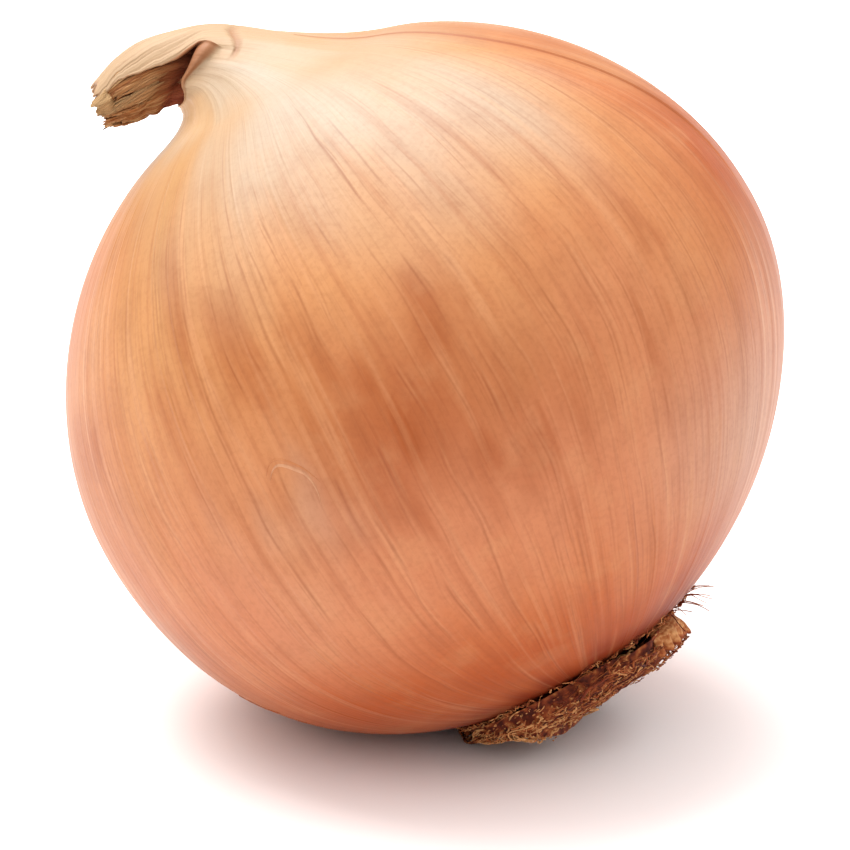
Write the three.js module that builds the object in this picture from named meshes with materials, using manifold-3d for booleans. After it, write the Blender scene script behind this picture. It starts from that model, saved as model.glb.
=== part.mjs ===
// A yellow onion lying as it comes to rest: the bulb in its papery skin, the dry neck
// bent over at the top, and the root plate with its short dry roots underneath.
import * as THREE from "three";
import { mergeVertices } from "three/addons/utils/BufferGeometryUtils.js";
import Module from "manifold-3d";

const wasm = await Module();
wasm.setup();

// Driving dimensions, in millimetres and degrees. The onion is drawn upright, with its
// own axis on +Z and the root plate at height 0. Its fuller side faces +X.
const BULB_RADIUS = 39.8;
const EQUATOR_HEIGHT = 35.5;
const LOWER_HALF = 36.8;
const UPPER_HALF = 37.8;
const COLLAR_HEIGHT = 74;
const COLLAR_RADIUS = 7.6;
const FULLER_BY = 2.4;

const VEINS = 24;
const VEIN_HEIGHT = 0.25;
const VEIN_HALF_WIDTH = 0.07;
const SKIN_SHEET = 0.3;
const SKIN_EDGE_VEIN = 23;
const SKIN_SHEET_VEINS = 7;

const NECK_REACH = 14.5;
const NECK_DEPTH = 4.1;
const NECK_PLEATS = 9;
const SHEATHS = 8;
const SHEATH_THICKNESS = 0.8;

const PLATE_RADIUS = 12;
const PLATE_THICKNESS = 3.6;
const ROOTS = 64;
const ROOT_RADIUS = 0.65;
const ROOT_SPREAD = 13.9;

const LEAN = 33.3;
const SPIN = 31;
const FLAT_DEPTH = 0.75;
const GAP = 0.3;

const turn = 2 * Math.PI;
const { lerp, smoothstep, degToRad } = THREE.MathUtils;

// Repeatable random numbers between low and high.
function dice(seed) {
  let state = seed;
  return (low, high) => {
    state = (state + 0x6d2b79f5) | 0;
    let t = Math.imul(state ^ (state >>> 15), 1 | state);
    t = (t + Math.imul(t ^ (t >>> 7), 61 | t)) ^ t;
    return low + ((high - low) * ((t ^ (t >>> 14)) >>> 0)) / 2 ** 32;
  };
}

// A closed three.js geometry as a solid that can be joined and cut.
function solidOf(geometry) {
  const bare = geometry.clone();
  bare.deleteAttribute("normal");
  bare.deleteAttribute("uv");
  const merged = mergeVertices(bare, 1e-4);
  return new wasm.Manifold(
    new wasm.Mesh({
      numProp: 3,
      vertProperties: merged.attributes.position.array,
      triVerts: new Uint32Array(merged.index.array),
    }),
  );
}

// One sound body from a fused solid: slivers are tidied away, any hollow that the fusing
// sealed is filled in, and any loose scrap is dropped.
function wholeOf(solid) {
  const pieces = solid.asOriginal().simplify(0.03).decompose();
  return pieces.sort((a, b) => b.volume() - a.volume())[0];
}

function geometryOf(solid) {
  const mesh = wholeOf(solid).getMesh();
  const geometry = new THREE.BufferGeometry();
  geometry.setAttribute("position", new THREE.BufferAttribute(mesh.vertProperties, 3));
  geometry.setIndex(new THREE.BufferAttribute(mesh.triVerts, 1));
  geometry.computeVertexNormals();
  return geometry;
}

function named(name, geometry, color, roughness) {
  const material = new THREE.MeshStandardMaterial({ color, roughness, metalness: 0 });
  const mesh = new THREE.Mesh(geometry, material);
  mesh.name = name;
  return mesh;
}

// Moves every vertex of a geometry by a formula.
function reshape(geometry, formula) {
  const position = geometry.getAttribute("position");
  const point = new THREE.Vector3();
  for (let i = 0; i < position.count; i++) {
    point.fromBufferAttribute(position, i);
    formula(point);
    position.setXYZ(i, point.x, point.y, point.z);
  }
  return geometry;
}

// How far the bulb's round sections stand off its axis, towards its fuller side.
function fullerBy(height) {
  return (
    FULLER_BY *
    smoothstep(height, 0, EQUATOR_HEIGHT) *
    (1 - smoothstep(height, COLLAR_HEIGHT - 5, COLLAR_HEIGHT + 6))
  );
}

// The bulb: two half ellipses that meet at the equator, drawn up into a concave collar.
function bulbProfile() {
  const rimAngle = -Math.asin(EQUATOR_HEIGHT / LOWER_HALF);
  const shoulderAngle = degToRad(62);
  const shoulder = new THREE.Vector2(
    BULB_RADIUS * Math.cos(shoulderAngle),
    EQUATOR_HEIGHT + UPPER_HALF * Math.sin(shoulderAngle),
  );
  const slope = new THREE.Vector2(
    -BULB_RADIUS * Math.sin(shoulderAngle),
    UPPER_HALF * Math.cos(shoulderAngle),
  ).normalize();
  const profile = new THREE.Path();
  profile.moveTo(0, 0);
  profile.lineTo(BULB_RADIUS * Math.cos(rimAngle), 0);
  profile.absellipse(0, EQUATOR_HEIGHT, BULB_RADIUS, LOWER_HALF, rimAngle, 0, false);
  profile.absellipse(0, EQUATOR_HEIGHT, BULB_RADIUS, UPPER_HALF, 0, shoulderAngle, false);
  profile.bezierCurveTo(
    shoulder.x + 6 * slope.x,
    shoulder.y + 6 * slope.y,
    COLLAR_RADIUS + 2.6,
    COLLAR_HEIGHT - 3,
    COLLAR_RADIUS,
    COLLAR_HEIGHT,
  );
  profile.lineTo(0, COLLAR_HEIGHT);
  return profile;
}

// Turns the profile into the bulb. Each vein is a fine raised line from the root to the
// neck, with three plain meridians between it and the next.
function makeBulb() {
  const roll = dice(7);
  const perVein = 4;
  const meridians = VEINS * perVein;
  const veinAngles = [];
  for (let vein = 0; vein < VEINS; vein++) {
    veinAngles.push((turn * (vein + roll(-0.22, 0.22))) / VEINS);
  }
  veinAngles.push(veinAngles[0] + turn);
  const shares = [0, VEIN_HALF_WIDTH, 0.5, 1 - VEIN_HALF_WIDTH];
  const angles = [];
  for (let column = 0; column < meridians; column++) {
    const vein = Math.floor(column / perVein);
    angles.push(lerp(veinAngles[vein], veinAngles[vein + 1], shares[column % perVein]));
  }

  const arcs = bulbProfile().getSpacedPoints(34);
  const rings = arcs.filter((p, i) => i === 0 || i === arcs.length - 1 || p.x > 2);
  const geometry = new THREE.LatheGeometry(rings, meridians);
  reshape(geometry, (point) => {
    const radius = Math.hypot(point.x, point.z);
    const height = point.y;
    if (radius < 1e-6) {
      point.set(fullerBy(height), 0, height);
      return;
    }
    const angle = (Math.atan2(point.x, point.z) + turn) % turn;
    const column = Math.round((angle / turn) * meridians) % meridians;
    const vein = Math.floor(column / perVein);
    const onVein = column % perVein === 0;
    const sheetShare = (vein - SKIN_EDGE_VEIN + VEINS) % VEINS;
    const underSheet = sheetShare < SKIN_SHEET_VEINS && !(sheetShare === 0 && onVein);
    const theta = angles[column];
    const lumps = 0.3 * Math.cos(2 * theta + 1) + 0.2 * Math.cos(3 * theta + 2.4);
    const size = radius / BULB_RADIUS;
    const lift = lumps * size + (onVein ? VEIN_HEIGHT : 0) + (underSheet ? SKIN_SHEET : 0);
    const outer = radius + lift * smoothstep(radius, 3, 16);
    point.set(fullerBy(height) + outer * Math.cos(theta), outer * Math.sin(theta), height);
  });
  return geometry;
}

// The neck is drawn between two rails in the plane of its bend: the inner rail turns
// tightly over the bulb's collar, the outer one goes round it.
const innerRail = new THREE.CatmullRomCurve3([
  new THREE.Vector3(-6.3, 0, COLLAR_HEIGHT + GAP),
  new THREE.Vector3(-7, 0, COLLAR_HEIGHT + 1.2),
  new THREE.Vector3(-8.2, 0, COLLAR_HEIGHT + 1.5),
  new THREE.Vector3(-10.8, 0, COLLAR_HEIGHT + 1.4),
  new THREE.Vector3(-NECK_REACH, 0, COLLAR_HEIGHT + 2.5),
]);
const outerRail = new THREE.CatmullRomCurve3([
  new THREE.Vector3(8.8, 0, COLLAR_HEIGHT + GAP),
  new THREE.Vector3(4.8, 0, COLLAR_HEIGHT + 3.2),
  new THREE.Vector3(0, 0, COLLAR_HEIGHT + 6.4),
  new THREE.Vector3(-5.6, 0, COLLAR_HEIGHT + 8.1),
  new THREE.Vector3(-10, 0, COLLAR_HEIGHT + 8),
  new THREE.Vector3(-NECK_REACH, 0, COLLAR_HEIGHT + 6.4),
]);

// A point of the neck: share runs from the collar to the tip, angle goes round, and
// lift stands off the surface.
function neckPoint(share, angle, lift) {
  const inner = innerRail.getPoint(share);
  const outer = outerRail.getPoint(share);
  const centre = inner.clone().lerp(outer, 0.5);
  const across = outer.clone().sub(inner).multiplyScalar(0.5);
  const half = across.length();
  const depth = lerp(COLLAR_RADIUS, NECK_DEPTH, smoothstep(share, 0, 0.45));
  const pleat = 0.12 * Math.cos(NECK_PLEATS * angle + 0.8) * smoothstep(share, 0.02, 0.4);
  const grow = 1 + pleat + 0.05 * Math.cos(2 * angle + 1.3) * share;
  const up = (half * grow + lift) / half;
  const side = depth * grow + lift;
  return centre
    .addScaledVector(across, up * Math.cos(angle))
    .add(new THREE.Vector3(0, side * Math.sin(angle), 0));
}

// The withered leaf bases that make the neck: a pleated bundle with torn sheath ends
// standing out of it.
function makeNeck() {
  const roll = dice(23);
  const bundleEnd = 0.84;
  const around = NECK_PLEATS * 4;
  const bundle = new THREE.CylinderGeometry(1, 1, 1, around, 20);
  reshape(bundle, (point) => {
    const share = (point.y + 0.5) * bundleEnd;
    const onAxis = Math.hypot(point.x, point.z) < 0.5;
    const angle = Math.atan2(point.z, point.x);
    if (onAxis) {
      const height = share > 0.1 ? share - 0.14 : share;
      const middle = neckPoint(height, 0, 0).lerp(neckPoint(height, Math.PI, 0), 0.5);
      point.copy(middle);
      return;
    }
    const ragged = share > bundleEnd - 0.01 ? 0.05 * Math.cos(5 * angle) : 0;
    point.copy(neckPoint(share + ragged, -angle, 0));
  });

  let neck = solidOf(bundle);
  for (let sheath = 0; sheath < SHEATHS; sheath++) {
    const middle = (turn * (sheath + roll(-0.25, 0.25))) / SHEATHS;
    const halfWidth = roll(0.3, 0.5);
    const start = roll(0.4, 0.55);
    const end = roll(0.88, 0.99);
    const flare = roll(0.1, 0.7);
    const teeth = roll(0.03, 0.07);
    const blade = new THREE.BoxGeometry(1, 1, 1, 4, 6, 1);
    reshape(blade, (point) => {
      const along = point.y + 0.5;
      const tooth = along > 0.99 ? teeth * Math.cos(point.x * 4 * Math.PI) : 0;
      const share = lerp(start, end, along) - tooth;
      const width = halfWidth * lerp(1, 0.75, along);
      const lift = lerp(-0.5, flare, along) + (0.5 - point.z) * -SHEATH_THICKNESS;
      point.copy(neckPoint(Math.min(share, 1), middle + 2 * point.x * width, lift));
    });
    neck = neck.add(solidOf(blade));
  }
  return geometryOf(neck);
}

// Where a point of the upright onion comes to lie once it is set down.
const setDown = new THREE.Matrix4();

// The root plate: a lumpy cushion with short dry roots that spread from its rim and
// underside and curl, clear of the bulb above them and of the surface below.
function makeRoots() {
  const roll = dice(41);
  const liftUp = setDown.clone().invert();
  const plate = new THREE.LatheGeometry(
    [
      new THREE.Vector2(0, -PLATE_THICKNESS),
      new THREE.Vector2(0.35 * PLATE_RADIUS, -0.98 * PLATE_THICKNESS),
      new THREE.Vector2(0.65 * PLATE_RADIUS, -0.9 * PLATE_THICKNESS),
      new THREE.Vector2(0.88 * PLATE_RADIUS, -0.68 * PLATE_THICKNESS),
      new THREE.Vector2(PLATE_RADIUS, -0.35 * PLATE_THICKNESS),
      new THREE.Vector2(0.97 * PLATE_RADIUS, -GAP),
      new THREE.Vector2(0, -GAP),
    ],
    28,
  ).rotateX(Math.PI / 2);
  reshape(plate, (point) => {
    const angle = Math.atan2(point.y, point.x);
    const lump = 1 + 0.05 * Math.cos(5 * angle + 1) + 0.04 * Math.cos(9 * angle + 2);
    point.x *= lump;
    point.y *= lump;
    if (point.z < -GAP - 0.01) clear(point, 0.2);
  });

  // Keeps the middle of a root inside the mat, under the bulb and off the floor, and
  // draws it in towards the axis where bulb and floor come too close together.
  function clear(point, radius) {
    const room = 1.3 * radius;
    let inward = Math.min(1, ROOT_SPREAD / Math.max(1, Math.hypot(point.x, point.y)));
    for (let nudge = 0; nudge < 20; nudge++) {
      point.x *= inward;
      point.y *= inward;
      const share = Math.min(1, Math.hypot(point.x, point.y) / BULB_RADIUS);
      const underside = EQUATOR_HEIGHT - LOWER_HALF * Math.sqrt(1 - share ** 2);
      const ceiling = Math.max(0, underside) - GAP - room;
      point.z = Math.min(point.z, ceiling);
      point.applyMatrix4(setDown);
      point.z = Math.max(point.z, GAP + room);
      point.applyMatrix4(liftUp);
      if (point.z < ceiling + 0.05) break;
      inward = 0.96;
    }
    return point;
  }

  let tuft = solidOf(plate);
  for (let root = 0; root < ROOTS; root++) {
    const share = (root + 0.5) / ROOTS;
    const bearing = turn * root * 0.381966 + roll(-0.2, 0.2);
    const start = PLATE_RADIUS * lerp(0.2, 0.93, Math.sqrt(share));
    const radius = ROOT_RADIUS * roll(0.75, 1.15);
    const swing = roll(-0.7, 0.7);
    const spread = roll(1.8, 3.8);
    const drop = roll(0, 2.6);
    const path = [];
    for (let step = 0; step < 5; step++) {
      const along = step / 4;
      const distance = start + spread * (step === 0 ? 0 : along * 1.3 + 0.1);
      const angle = bearing + swing * along * along;
      const edge = Math.min(1, distance / PLATE_RADIUS) ** 4;
      const under = PLATE_THICKNESS * lerp(0.85, 0.3, edge);
      const curl = under + drop * Math.sin(Math.PI * 0.85 * along);
      const point = new THREE.Vector3(
        distance * Math.cos(angle),
        distance * Math.sin(angle),
        -curl,
      );
      path.push(step === 0 ? point : clear(point, radius));
    }
    const steps = 5;
    const line = new THREE.CatmullRomCurve3(path);
    const frames = line.computeFrenetFrames(steps, false);
    const fibre = new THREE.CylinderGeometry(0.45 * radius, radius, 1, 4, steps);
    reshape(fibre, (point) => {
      const along = point.y + 0.5;
      const frame = Math.round(along * steps);
      const centre = line.getPointAt(along);
      centre.addScaledVector(frames.binormals[frame], point.x);
      centre.addScaledVector(frames.normals[frame], point.z);
      point.copy(centre);
    });
    tuft = tuft.add(solidOf(fibre));
  }
  return geometryOf(tuft);
}

// Sets the onion down: leant over, and lowered until a small flat spot is pressed into
// its lowest side at height 0, with that spot's middle at the origin.
function makeOnion() {
  const bulbGeometry = makeBulb();
  const turned = new THREE.Matrix4()
    .makeRotationY(degToRad(-LEAN))
    .multiply(new THREE.Matrix4().makeRotationZ(degToRad(SPIN)));
  const leaning = bulbGeometry.clone().applyMatrix4(turned);
  leaning.computeBoundingBox();
  const lowest = leaning.boundingBox.min.z;
  const spot = new THREE.Box3();
  const corner = new THREE.Vector3();
  const position = leaning.getAttribute("position");
  for (let i = 0; i < position.count; i++) {
    corner.fromBufferAttribute(position, i);
    if (corner.z < lowest + FLAT_DEPTH) spot.expandByPoint(corner);
  }
  const middle = spot.getCenter(new THREE.Vector3());
  setDown
    .makeTranslation(-middle.x, -middle.y, -lowest - FLAT_DEPTH)
    .multiply(turned);

  const floorBlock = new THREE.BoxGeometry(60, 60, 10)
    .translate(0, 0, -5)
    .applyMatrix4(setDown.clone().invert());
  const bulb = solidOf(bulbGeometry).subtract(solidOf(floorBlock));

  const onion = new THREE.Group();
  onion.applyMatrix4(setDown);
  onion.add(
    named("bulb", geometryOf(bulb), 0xd98a55, 0.38),
    named("neck", makeNeck(), 0xd9bd8c, 0.7),
    named("root_tuft", makeRoots(), 0x9a6f42, 0.85),
  );
  return onion;
}

const root = new THREE.Group();
root.add(makeOnion());

export default root;
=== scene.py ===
# %% [markdown]
# # A yellow onion
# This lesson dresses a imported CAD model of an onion: the bulb in its papery skin, the
# dry neck bent over at the top, and the mat of dry roots underneath. Every length below
# is written in millimetres and turned into metres when it reaches Blender.

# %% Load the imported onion
import math
import random

import bpy
from mathutils import Matrix, Vector, noise


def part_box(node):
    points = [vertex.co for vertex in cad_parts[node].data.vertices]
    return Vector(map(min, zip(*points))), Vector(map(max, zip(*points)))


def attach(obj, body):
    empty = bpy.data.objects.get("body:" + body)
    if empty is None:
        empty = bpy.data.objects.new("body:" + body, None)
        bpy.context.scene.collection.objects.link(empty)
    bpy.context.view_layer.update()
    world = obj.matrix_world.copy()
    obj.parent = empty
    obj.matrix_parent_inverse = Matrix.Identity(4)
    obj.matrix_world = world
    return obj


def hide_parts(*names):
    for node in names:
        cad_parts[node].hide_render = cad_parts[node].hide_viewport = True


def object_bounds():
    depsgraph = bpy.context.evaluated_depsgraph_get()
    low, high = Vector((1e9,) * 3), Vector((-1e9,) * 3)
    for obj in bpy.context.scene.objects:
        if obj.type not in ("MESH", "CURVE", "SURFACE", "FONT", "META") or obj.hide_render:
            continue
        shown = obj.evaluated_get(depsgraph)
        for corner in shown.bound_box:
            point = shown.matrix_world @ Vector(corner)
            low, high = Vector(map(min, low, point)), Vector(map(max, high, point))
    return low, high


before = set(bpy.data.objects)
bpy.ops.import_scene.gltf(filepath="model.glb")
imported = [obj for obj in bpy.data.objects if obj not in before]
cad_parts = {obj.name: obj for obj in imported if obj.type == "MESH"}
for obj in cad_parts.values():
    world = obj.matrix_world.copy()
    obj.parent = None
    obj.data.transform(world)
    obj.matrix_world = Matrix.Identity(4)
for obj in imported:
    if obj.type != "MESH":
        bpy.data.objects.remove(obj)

MM = 0.001
cad_low, cad_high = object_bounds()

# %% [markdown]
# ## The camera
# The photograph was taken from a little above the onion with a long lens, so parallel
# lines stay almost parallel. A camera could be placed by hand, but working its lens out
# from how many pixels a millimetre of onion covers keeps it true if the onion changes.

# %% Camera
PHOTO_PIXELS = 850
PIXELS_PER_MM = 9.22
MIDDLE_PIXEL = (427, 374)
VIEW_TURN = math.radians(24.7)
VIEW_RISE = math.radians(20)
VIEW_DISTANCE = 700

to_camera = Vector((
    math.sin(VIEW_TURN) * math.cos(VIEW_RISE),
    -math.cos(VIEW_TURN) * math.cos(VIEW_RISE),
    math.sin(VIEW_RISE),
))
to_right = Vector((math.cos(VIEW_TURN), math.sin(VIEW_TURN), 0))
to_top = to_camera.cross(to_right)
onion_middle = (Vector(cad_low) + Vector(cad_high)) / 2
half_frame = PHOTO_PIXELS / 2
aim = onion_middle.copy()
aim += to_right * (half_frame - MIDDLE_PIXEL[0]) / PIXELS_PER_MM * MM
aim -= to_top * (half_frame - MIDDLE_PIXEL[1]) / PIXELS_PER_MM * MM

camera_data = bpy.data.cameras.new("camera")
camera_data.sensor_width = 36
camera_data.lens = PIXELS_PER_MM * VIEW_DISTANCE * camera_data.sensor_width / PHOTO_PIXELS
camera = bpy.data.objects.new("camera", camera_data)
camera.location = aim + to_camera * VIEW_DISTANCE * MM
camera.rotation_euler = to_camera.to_track_quat("Z", "Y").to_euler()
bpy.context.collection.objects.link(camera)
bpy.context.scene.camera = camera
print("lens", round(camera_data.lens, 1), "mm")

# %% [markdown]
# ## Floor and light
# The onion lies on a white surface that runs out of the picture on all sides. A large
# plane does that. The light is soft. A white box of lamps could give it, but a white
# sky that dims towards the horizon does the same, and one wide lamp above the onion's
# left shoulder adds the broad highlight by the neck.

# %% Floor
FLOOR_SIZE = 6000
# The floor's faint pink is painted light: it stands in for the warm light that bounces off
# the onion into its shadow.
FLOOR_COLOUR = (0.95, 0.9, 0.885, 1)
FLOOR_ROUGHNESS = 0.7
FLOOR_SPECULAR = 0.2

bpy.ops.object.select_all(action="DESELECT")
bpy.ops.mesh.primitive_plane_add(size=FLOOR_SIZE * MM)
floor = bpy.context.object
floor.name = "floor"
floor_paint = bpy.data.materials.new("floor_white")
floor_paint.use_nodes = True
floor_shader = floor_paint.node_tree.nodes["Principled BSDF"]
floor_shader.inputs["Base Color"].default_value = FLOOR_COLOUR
floor_shader.inputs["Roughness"].default_value = FLOOR_ROUGHNESS
floor_shader.inputs["Specular IOR Level"].default_value = FLOOR_SPECULAR
floor.data.materials.append(floor_paint)

# %% Light
SKY_STRENGTH = 1.67
HORIZON_STRENGTH = 0.42
HORIZON_TOP = math.radians(10)
SKY_BOTTOM = math.radians(38)

world = bpy.data.worlds.new("white_room")
world.use_nodes = True
sky = world.node_tree.nodes
sky["Background"].inputs["Color"].default_value = (1, 1, 1, 1)
direction = sky.new("ShaderNodeTexCoord")
height = sky.new("ShaderNodeSeparateXYZ")
strength = sky.new("ShaderNodeMapRange")
strength.inputs["From Min"].default_value = math.sin(HORIZON_TOP)
strength.inputs["From Max"].default_value = math.sin(SKY_BOTTOM)
strength.inputs["To Min"].default_value = HORIZON_STRENGTH
strength.inputs["To Max"].default_value = SKY_STRENGTH
world.node_tree.links.new(direction.outputs["Generated"], height.inputs[0])
world.node_tree.links.new(height.outputs["Z"], strength.inputs["Value"])
world.node_tree.links.new(strength.outputs[0], sky["Background"].inputs["Strength"])
bpy.context.scene.world = world
bpy.context.scene.view_settings.view_transform = "Standard"


def lamp(name, towards, distance, size, watts):
    """A square lamp that many millimetres from the onion, aimed at its middle."""
    data = bpy.data.lights.new(name, "AREA")
    data.shape = "SQUARE"
    data.size = size * MM
    data.energy = watts
    light = bpy.data.objects.new(name, data)
    direction = Vector(towards).normalized()
    light.location = onion_middle + direction * distance * MM
    light.rotation_euler = direction.to_track_quat("Z", "Y").to_euler()
    bpy.context.collection.objects.link(light)
    return light


key_direction = to_camera * 0.05 - to_right * 0.27 + to_top * 0.93
key = lamp("key", key_direction, distance=900, size=800, watts=12)
print("the lamp stands at", [round(c, 2) for c in key.location], "metres")

# %% [markdown]
# ## The shape of the bulb
# An onion bulb is nearly round, a little flatter at the root and drawn up to a thin
# collar at the neck. It could be sculpted, but a formula keeps it equal to the CAD: two
# half ellipses that meet at the widest height, then a curve up to the collar. Heights
# are measured up the onion's own axis from its root plate, and +X is its fuller side.

# %% Outline of the bulb
BULB_RADIUS = 39.8
EQUATOR_HEIGHT = 35.5
LOWER_HALF = 36.8
UPPER_HALF = 37.8
COLLAR_HEIGHT = 74
COLLAR_RADIUS = 7.6
FULLER_BY = 2.4
SHOULDER = math.radians(62)


def clamp(value, low=0.0, high=1.0):
    return max(low, min(high, value))


def lerp(a, b, share):
    return a + (b - a) * share


def smooth(value, low, high):
    """0 below low, 1 above high, and an even ramp with soft ends between them."""
    share = clamp((value - low) / (high - low))
    return share * share * (3 - 2 * share)


def fuller_by(height):
    """How far the round sections stand off the axis, towards the fuller side."""
    towards_neck = smooth(height, COLLAR_HEIGHT - 5, COLLAR_HEIGHT + 6)
    return FULLER_BY * smooth(height, 0, EQUATOR_HEIGHT) * (1 - towards_neck)


def bezier(a, b, c, d, share):
    rest = 1 - share
    return (
        a * rest**3 + b * 3 * rest**2 * share + c * 3 * rest * share**2 + d * share**3
    )


def bulb_outline():
    """Points (radius, height) from the middle of the root plate to the collar."""
    points = [Vector((0, 0))]
    rim = -math.asin(EQUATOR_HEIGHT / LOWER_HALF)
    for step in range(201):
        angle = lerp(rim, SHOULDER, step / 200)
        half = UPPER_HALF if angle > 0 else LOWER_HALF
        height = EQUATOR_HEIGHT + half * math.sin(angle)
        points.append(Vector((BULB_RADIUS * math.cos(angle), height)))
    shoulder = points[-1]
    slope = Vector((-BULB_RADIUS * math.sin(SHOULDER), UPPER_HALF * math.cos(SHOULDER)))
    first = shoulder + slope.normalized() * 6
    second = Vector((COLLAR_RADIUS + 2.6, COLLAR_HEIGHT - 3))
    collar = Vector((COLLAR_RADIUS, COLLAR_HEIGHT))
    for step in range(1, 61):
        points.append(bezier(shoulder, first, second, collar, step / 60))
    return points


outline = bulb_outline()
outline_lengths = [0.0]
for before, after in zip(outline, outline[1:]):
    outline_lengths.append(outline_lengths[-1] + (after - before).length)
print("outline length", round(outline_lengths[-1], 1), "mm")


def outline_at(share):
    """(radius, height) at a share of the way from the root to the collar."""
    goal = clamp(share) * outline_lengths[-1]
    low, high = 0, len(outline) - 1
    while high - low > 1:
        middle = (low + high) // 2
        if outline_lengths[middle] <= goal:
            low = middle
        else:
            high = middle
    span = outline_lengths[high] - outline_lengths[low]
    return outline[low].lerp(outline[high], (goal - outline_lengths[low]) / span)


# %% Relief of the bulb
SHEET_RISE = 0.16
SHEET_START = math.radians(-14)
SHEET_END = math.radians(90)
SHEET_SLANT = math.radians(-15)


def lumps(theta):
    """The slow swell and sink of the bulb's girth, in mm at its widest."""
    return 0.3 * math.cos(2 * theta + 1) + 0.2 * math.cos(3 * theta + 2.4)


def side_angle(theta):
    """theta as an angle from the fuller side, -pi to pi, negative towards the camera."""
    return math.remainder(theta, 2 * math.pi)


def sheet_cover(theta):
    """1 under the outermost sheet of skin on the fuller side, 0 off it."""
    return 1.0 if SHEET_START + 0.001 < side_angle(theta) < SHEET_END else 0.0


def bulb_point(theta, along, lift=0.0):
    """A point of the bulb's skin, in mm, with the onion upright."""
    radius, height = outline_at(along)
    swell = lumps(theta) * radius / BULB_RADIUS
    outer = radius + (swell + lift) * smooth(radius, 3, 16)
    return Vector((
        fuller_by(height) + outer * math.cos(theta),
        outer * math.sin(theta),
        height,
    ))


# %% [markdown]
# ## Setting the onion down
# The CAD onion leans on its low side. The lean and the turn about its own axis are known
# angles. Where it lies could be typed in as well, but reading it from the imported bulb's
# box means the skin lands on the bulb wherever the CAD puts it.

# %% Where the upright onion lies
LEAN = math.radians(33.3)
SPIN = math.radians(31)

turned = Matrix.Rotation(-LEAN, 4, "Y") @ Matrix.Rotation(SPIN, 4, "Z")
samples = [
    turned @ bulb_point(math.radians(2 * step), ring / 120)
    for step in range(180)
    for ring in range(121)
]
cad_bulb_low, cad_bulb_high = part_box("bulb")
shift = []
for axis in range(2):
    middle = (min(p[axis] for p in samples) + max(p[axis] for p in samples)) / 2
    shift.append((cad_bulb_low[axis] + cad_bulb_high[axis]) / 2 / MM - middle)
shift.append(cad_bulb_high[2] / MM - max(p[2] for p in samples))
set_down = Matrix.Translation(shift) @ turned
lift_up = set_down.inverted()
print("the axis meets the root plate at", [round(c, 1) for c in set_down.translation], "mm")

# %% [markdown]
# ## Building pieces from grids
# Skin, sheaths and fibres are all thin sheets or tubes. Each could be a different
# primitive, but a grid whose points are laid out by a rule covers them all: one
# direction of the grid runs round the piece, the other along it. The rule also hands
# back two things for the finish: where the point lies in the run of the fibres, and
# three marks such as how deep a groove is there.

# %% Grid helper
WELD = 0.02


def write_marks(mesh, flows, marks):
    """Stores the run of the fibres and the marks on the mesh for its material."""
    for name, values in (("flow", flows), ("marks", marks)):
        attribute = mesh.attributes.new(name, "FLOAT_VECTOR", "POINT")
        attribute.data.foreach_set("vector", [c for value in values for c in value])


def laid_grid(name, columns, rows, rule, closed=True):
    """A mesh object from a grid. rule(u, v) gives a place in mm, a flow and marks."""
    bpy.ops.object.select_all(action="DESELECT")
    bpy.ops.mesh.primitive_grid_add(x_subdivisions=columns, y_subdivisions=rows, size=2)
    piece = bpy.context.object
    piece.name = name
    mesh = piece.data
    mesh.name = name
    places, flows, marks = [], [], []
    for vertex in mesh.vertices:
        u = (vertex.co.x + 1) / 2
        v = (vertex.co.y + 1) / 2
        place, flow, mark = rule(u, v)
        places.extend(set_down @ place * MM)
        flows.append(flow)
        marks.append(mark)
    mesh.vertices.foreach_set("co", places)
    write_marks(mesh, flows, marks)
    while mesh.uv_layers:
        mesh.uv_layers.remove(mesh.uv_layers[0])
    if closed:
        bpy.ops.object.mode_set(mode="EDIT")
        bpy.ops.mesh.select_all(action="SELECT")
        bpy.ops.mesh.remove_doubles(threshold=WELD * MM)
        bpy.ops.mesh.normals_make_consistent(inside=False)
        bpy.ops.object.mode_set(mode="OBJECT")
    bpy.ops.object.shade_smooth()
    return piece


def apply_modifiers(piece):
    bpy.ops.object.select_all(action="DESELECT")
    bpy.context.view_layer.objects.active = piece
    piece.select_set(True)
    for modifier in list(piece.modifiers):
        bpy.ops.object.modifier_apply(modifier=modifier.name)


def joined(name, pieces):
    """One object made of all the pieces."""
    bpy.ops.object.select_all(action="DESELECT")
    for piece in pieces:
        piece.select_set(True)
    bpy.context.view_layer.objects.active = pieces[0]
    bpy.ops.object.join()
    whole = bpy.context.object
    whole.name = name
    whole.data.name = name
    return whole


# %% [markdown]
# ## The shape of the neck
# The neck is what is left of the leaves: withered sheaths that bend over to one side. A
# bent tube could follow one curve, but this neck turns tightly on its inner side and
# widely on its outer side, so it is drawn between two rails, one for each side.

# %% Rails of the neck
NECK_REACH = 14.5
NECK_DEPTH = 4.1
GAP = 0.3

inner_rail = [
    Vector((-6.3, 0, COLLAR_HEIGHT + GAP)),
    Vector((-7, 0, COLLAR_HEIGHT + 1.2)),
    Vector((-8.2, 0, COLLAR_HEIGHT + 1.5)),
    Vector((-10.8, 0, COLLAR_HEIGHT + 1.4)),
    Vector((-NECK_REACH, 0, COLLAR_HEIGHT + 2.5)),
]
outer_rail = [
    Vector((8.8, 0, COLLAR_HEIGHT + GAP)),
    Vector((4.8, 0, COLLAR_HEIGHT + 3.2)),
    Vector((0, 0, COLLAR_HEIGHT + 6.4)),
    Vector((-5.6, 0, COLLAR_HEIGHT + 8.1)),
    Vector((-10, 0, COLLAR_HEIGHT + 8)),
    Vector((-NECK_REACH, 0, COLLAR_HEIGHT + 6.4)),
]


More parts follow.
